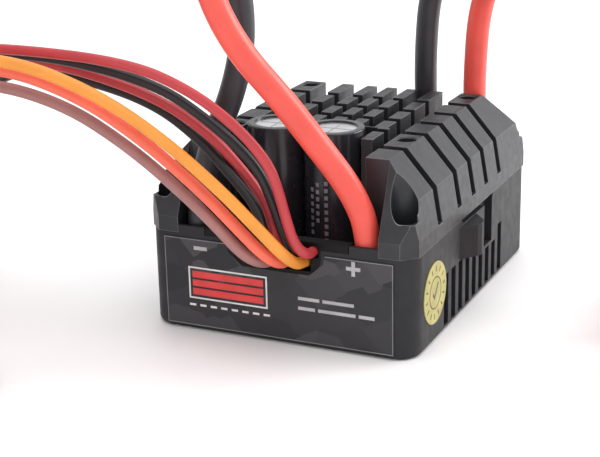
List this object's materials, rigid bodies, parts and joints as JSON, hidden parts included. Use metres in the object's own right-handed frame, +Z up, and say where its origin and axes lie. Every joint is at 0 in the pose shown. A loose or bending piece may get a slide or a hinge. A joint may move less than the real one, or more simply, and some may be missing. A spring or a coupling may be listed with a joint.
{
  "type": "electronic speed controller",
  "caption": "Brushed motor speed controller: finned heat sink lid on a plastic tray, storage capacitors, power and signal leads with plugs and an on/off slide switch.",
  "frame": {"origin": "centre of the tray's flat underside", "axes": "+Z up through the heat sink, +Y from the label and battery end to the motor end, +X to the right as the label is read"},
  "size_m": [0.1292, 0.0775, 0.0637],
  "materials": {
    "case_plastic": "fine moulded texture",
    "anodised": "black anodised, satin",
    "screw_steel": "black oxide",
    "grommet": "matt",
    "label": "satin printed film",
    "sticker": "satin",
    "board": "solder mask",
    "chip_black": "epoxy",
    "chip_ceramic": "fired",
    "led": "clear lens",
    "solder": "bright",
    "thermal": "soft",
    "can_metal": "satin",
    "can_sleeve": "shrink film",
    "can_bung": "matt",
    "silicone_red": "silicone, satin",
    "silicone_black": "silicone, satin",
    "wire_brown": "PVC, satin",
    "wire_red": "PVC, satin",
    "wire_orange": "PVC, satin",
    "thin_red": "PVC, satin",
    "thin_black": "PVC, satin",
    "plug_red": "moulded",
    "plug_black": "moulded",
    "gold": "gold plated",
    "shrink_black": "heat shrink",
    "shrink_red": "heat shrink",
    "switch_cover": "black",
    "slider": "moulded"
  },
  "bodies": {
    "controller": {"lower_case": "case_plastic", "heat_sink": "anodised", "case_screws": "screw_steel", "wire_grommet": "grommet", "front_label": "label", "inspection_sticker": "sticker", "main_board": "board", "mosfets": "chip_black", "thermal_pad": "thermal", "bec_regulators": "chip_black", "microcontroller": "chip_black", "chip_capacitors": "chip_ceramic", "status_led": "led", "solder_joints": "solder", "capacitor_can_left": "can_metal", "capacitor_can_right": "can_metal", "capacitor_sleeve_left": "can_sleeve", "capacitor_sleeve_right": "can_sleeve", "capacitor_bung_left": "can_bung", "capacitor_bung_right": "can_bung", "capacitor_leads": "solder", "battery_wire_red": "silicone_red", "battery_wire_black": "silicone_black", "motor_wire_red": "silicone_red", "motor_wire_black": "silicone_black", "servo_wire_brown": "wire_brown", "servo_wire_red": "wire_red", "servo_wire_orange": "wire_orange", "fan_wire_red": "thin_red", "fan_wire_black": "thin_black", "switch_wire_red": "thin_red", "switch_wire_black": "thin_black", "battery_plug_housing": "plug_red", "battery_plug_blades": "gold", "motor_bullet_red": "gold", "motor_bullet_black": "gold", "motor_bullet_sleeve_red": "shrink_red", "motor_bullet_sleeve_black": "shrink_black", "servo_plug_housing": "plug_black", "servo_plug_contacts": "gold", "fan_plug_housing": "plug_black", "fan_plug_contacts": "gold", "switch_housing": "plug_black", "switch_cover": "switch_cover", "switch_contacts": "gold"},
    "slider": {"switch_slider": "slider"}
  },
  "joints": [
    {"name": "switch_slide", "type": "slide", "parent": "controller", "child": "slider", "axis": [0, -1, 0], "range_m": [0, 0.003]}
  ]
}
